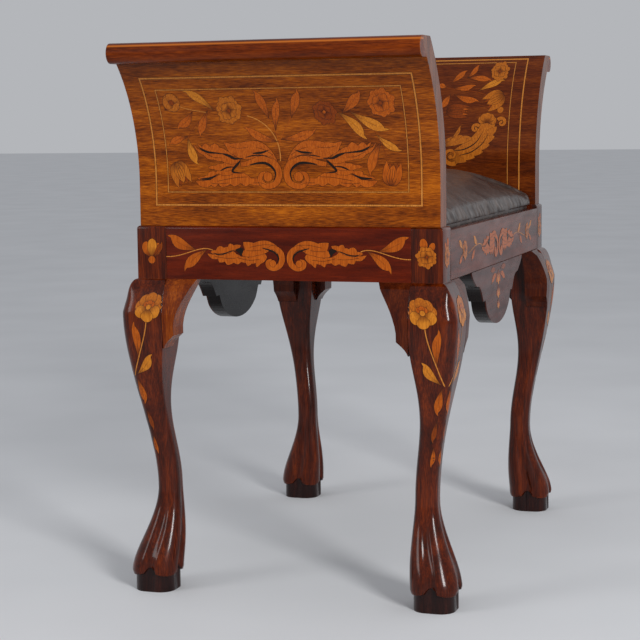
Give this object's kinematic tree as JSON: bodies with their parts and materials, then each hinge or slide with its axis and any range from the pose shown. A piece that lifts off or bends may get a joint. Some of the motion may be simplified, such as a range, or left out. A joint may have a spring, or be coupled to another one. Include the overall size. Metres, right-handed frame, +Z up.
{
  "type": "piano stool",
  "caption": "Duet-width piano stool: cabriole legs with toed feet, outward-curling end panels with floral marquetry, and a drop-in padded leather seat",
  "frame": {"origin": "On the floor, under the middle of the stool", "axes": "+X runs along the seat from the left end panel to the right one, +Y from the front to the back, +Z up"},
  "size_m": [0.744, 0.408, 0.65],
  "materials": {
    "mahogany": "french polished",
    "veneer": "french polished",
    "marquetry": "french polished",
    "stringing": "french polished",
    "beech": "planed, unpolished",
    "steel": "dull",
    "leather": "polished, aged",
    "webbing": "woven jute",
    "hessian": "open woven jute",
    "horsehair": "curled hair",
    "lining": "plain black cotton"
  },
  "bodies": {
    "frame": {"leg_front_left": "mahogany", "leg_front_right": "mahogany", "leg_back_left": "mahogany", "leg_back_right": "mahogany", "front_rail": "mahogany", "back_rail": "mahogany", "left_rail": "mahogany", "right_rail": "mahogany", "front_drop": "mahogany", "back_drop": "mahogany", "ear_front_left_end": "mahogany", "ear_front_left_side": "mahogany", "ear_front_right_end": "mahogany", "ear_front_right_side": "mahogany", "ear_back_left_end": "mahogany", "ear_back_left_side": "mahogany", "ear_back_right_end": "mahogany", "ear_back_right_side": "mahogany", "corner_block_front_left": "mahogany", "corner_block_front_right": "mahogany", "corner_block_back_left": "mahogany", "corner_block_back_right": "mahogany", "corner_screws": "steel", "left_cleat": "beech", "right_cleat": "beech", "cleat_screws": "steel", "left_panel": "mahogany", "right_panel": "mahogany", "left_nosing": "mahogany", "right_nosing": "mahogany", "left_dowels": "beech", "right_dowels": "beech", "left_outer_veneer": "veneer", "right_outer_veneer": "veneer", "left_inner_veneer": "veneer", "right_inner_veneer": "veneer", "left_outer_marquetry": "marquetry", "right_outer_marquetry": "marquetry", "left_inner_marquetry": "marquetry", "right_inner_marquetry": "marquetry", "left_outer_stringing": "stringing", "right_outer_stringing": "stringing", "left_inner_stringing": "stringing", "right_inner_stringing": "stringing", "left_rail_marquetry": "marquetry", "right_rail_marquetry": "marquetry", "front_rail_marquetry": "marquetry", "back_rail_marquetry": "marquetry", "post_marquetry": "marquetry"},
    "seat": {"seat_front_rail": "beech", "seat_back_rail": "beech", "seat_left_rail": "beech", "seat_right_rail": "beech", "seat_webbing": "webbing", "seat_hessian": "hessian", "seat_stuffing": "horsehair", "seat_cover": "leather", "seat_lining": "lining"}
  },
  "joints": [
    {"name": "seat_lift", "type": "slide", "parent": "frame", "child": "seat", "axis": [0, 0, 1], "range_m": [0, 0.25]}
  ]
}
